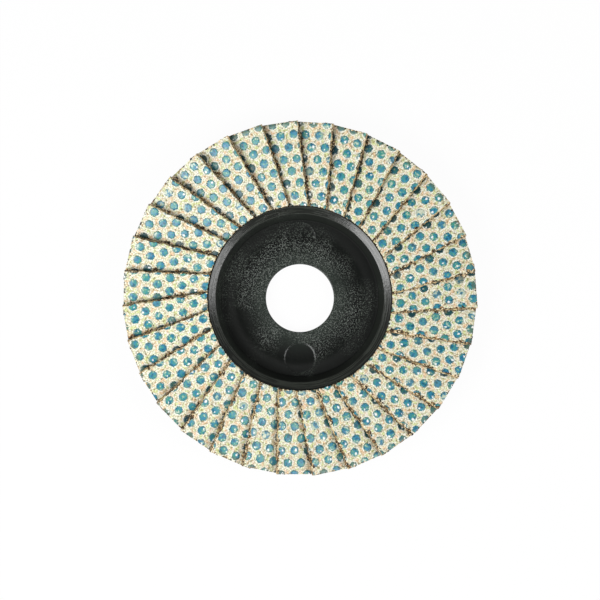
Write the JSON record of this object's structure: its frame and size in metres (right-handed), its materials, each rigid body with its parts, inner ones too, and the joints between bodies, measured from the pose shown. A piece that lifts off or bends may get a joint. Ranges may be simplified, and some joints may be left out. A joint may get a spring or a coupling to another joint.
{
  "type": "flap disc",
  "caption": "Flap disc: overlapping abrasive cloth flaps with raised hexagonal pads, fanned and glued on a depressed-hub plastic backing plate with a round arbor bore.",
  "frame": {"origin": "on the bore axis, in the plane of the hub's back face, on which the disc lies", "axes": "+Z along the bore axis from the hub's back towards the abrasive side; seen from +Z each flap lies over its clockwise neighbour"},
  "size_m": [0.1152, 0.1151, 0.0131],
  "materials": {
    "plate": "satin",
    "adhesive": "satin",
    "flap": "matte"
  },
  "bodies": {
    "root": {"backing_plate": "plate", "adhesive_bed": "adhesive", "flap_01": "flap", "flap_02": "flap", "flap_03": "flap", "flap_04": "flap", "flap_05": "flap", "flap_06": "flap", "flap_07": "flap", "flap_08": "flap", "flap_09": "flap", "flap_10": "flap", "flap_11": "flap", "flap_12": "flap", "flap_13": "flap", "flap_14": "flap", "flap_15": "flap", "flap_16": "flap", "flap_17": "flap", "flap_18": "flap", "flap_19": "flap", "flap_20": "flap", "flap_21": "flap", "flap_22": "flap", "flap_23": "flap", "flap_24": "flap", "flap_25": "flap", "flap_26": "flap", "flap_27": "flap", "flap_28": "flap", "flap_29": "flap", "flap_30": "flap", "flap_31": "flap"}
  },
  "joints": []
}
